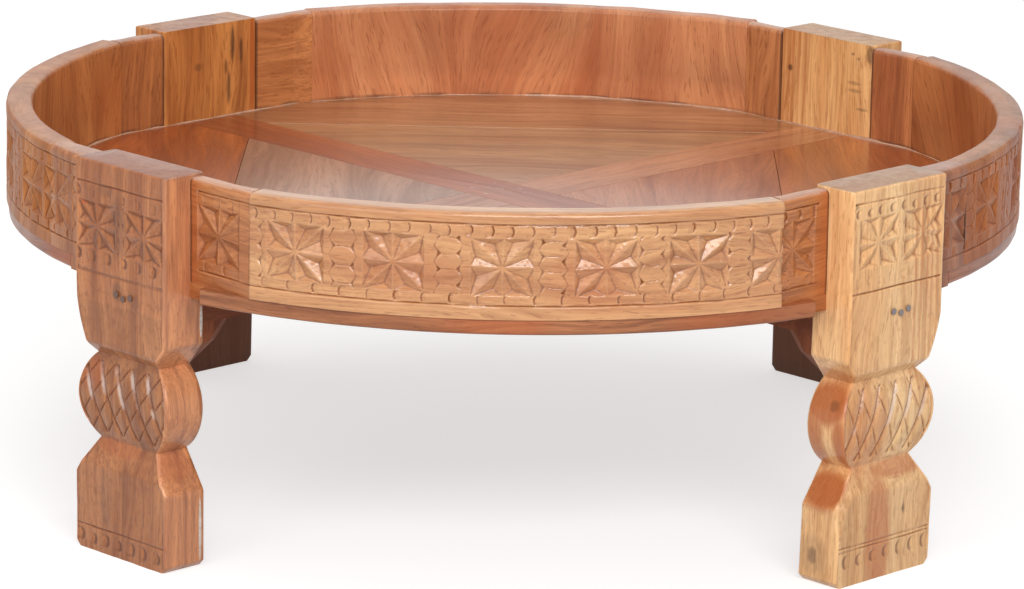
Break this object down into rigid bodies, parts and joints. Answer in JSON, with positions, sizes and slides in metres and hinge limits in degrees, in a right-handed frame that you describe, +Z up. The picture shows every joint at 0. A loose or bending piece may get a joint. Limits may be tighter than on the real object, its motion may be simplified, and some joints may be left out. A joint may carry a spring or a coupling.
{
  "type": "coffee table",
  "caption": "Low round wooden tray table: a chip-carved wall around a boarded floor, on plank-like baluster legs that rise through the rim.",
  "frame": {"origin": "on the ground under the middle of the round tray", "axes": "+Z up; +Y towards the rear of the pictured view, +X to its right; legs stand on the diagonals"},
  "size_m": [0.75, 0.75, 0.2815],
  "materials": {
    "leg_wood_dark": "hand carved, lacquered, worn",
    "leg_wood_pale": "hand carved, lacquered, worn",
    "wall_wood": "chip carved outside, planed inside, lacquered",
    "rail_wood": "planed, lacquered",
    "plank_wood": "planed, glossy lacquer",
    "floor_wood": "planed, glossy lacquer",
    "batten_wood": "sawn",
    "nail_iron": "dark iron, slightly rusted"
  },
  "bodies": {
    "root": {"batten_under_half_planks": "batten_wood", "batten_under_long_plank": "batten_wood", "carved_board_front": "wall_wood", "carved_board_left": "wall_wood", "carved_board_rear": "wall_wood", "carved_board_right": "wall_wood", "cross_plank_half_front_left": "plank_wood", "cross_plank_half_rear_right": "plank_wood", "cross_plank_long": "plank_wood", "end_block_front_left": "wall_wood", "end_block_front_right": "wall_wood", "end_block_left_front": "wall_wood", "end_block_left_rear": "wall_wood", "end_block_rear_left": "wall_wood", "end_block_rear_right": "wall_wood", "end_block_right_front": "wall_wood", "end_block_right_rear": "wall_wood", "floor_panel_front": "floor_wood", "floor_panel_left": "floor_wood", "floor_panel_rear": "floor_wood", "floor_panel_right": "floor_wood", "floor_segment_front": "floor_wood", "floor_segment_left": "floor_wood", "floor_segment_rear": "floor_wood", "floor_segment_right": "floor_wood", "haunch_front_left": "batten_wood", "haunch_front_right": "batten_wood", "haunch_rear_left": "batten_wood", "haunch_rear_right": "batten_wood", "leg_front_left": "leg_wood_dark", "leg_front_right": "leg_wood_pale", "leg_rear_left": "leg_wood_dark", "leg_rear_right": "leg_wood_pale", "lower_rail_front": "rail_wood", "lower_rail_left": "rail_wood", "lower_rail_rear": "rail_wood", "lower_rail_right": "rail_wood", "nails_leg_front_left": "nail_iron", "nails_leg_front_right": "nail_iron", "nails_leg_rear_left": "nail_iron", "nails_leg_rear_right": "nail_iron", "rail_dowels_front": "rail_wood", "rail_dowels_left": "rail_wood", "rail_dowels_rear": "rail_wood", "rail_dowels_right": "rail_wood", "splice_keys": "wall_wood"}
  },
  "joints": []
}
